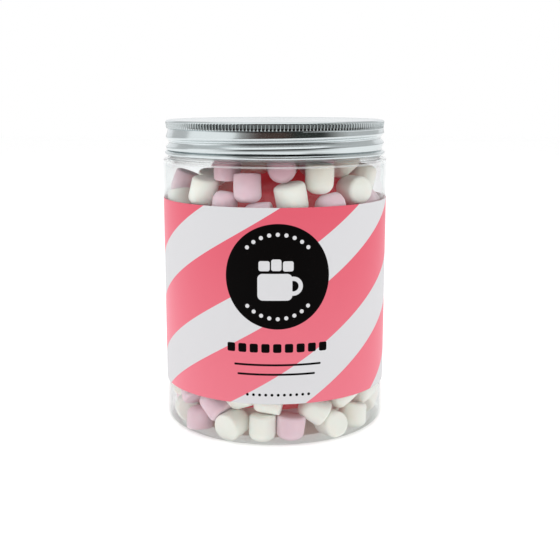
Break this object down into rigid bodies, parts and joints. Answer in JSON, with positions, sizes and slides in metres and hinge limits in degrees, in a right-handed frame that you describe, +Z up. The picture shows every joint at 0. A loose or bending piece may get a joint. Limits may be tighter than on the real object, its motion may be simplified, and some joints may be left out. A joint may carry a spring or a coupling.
{
  "type": "jar of small marshmallows",
  "caption": "Clear plastic jar with a straight wall, threaded metal screw lid and wrap-round striped label, filled with small pink and white marshmallows.",
  "frame": {"origin": "centre of the jar's base, on the surface it stands on", "axes": "+Z up the jar's axis; the front of the label faces -Y"},
  "size_m": [0.1008, 0.1008, 0.1363],
  "materials": {
    "clear_plastic": "clear, glossy",
    "lid_metal": "satin, rolled",
    "label_film": "printed film, pink and white diagonal stripes with a black disc, half gloss",
    "marshmallow": "soft, powdered, pale pink and cream white"
  },
  "bodies": {
    "root": {"jar": "clear_plastic", "lid": "lid_metal", "label": "label_film", "marshmallows": "marshmallow"}
  },
  "joints": []
}
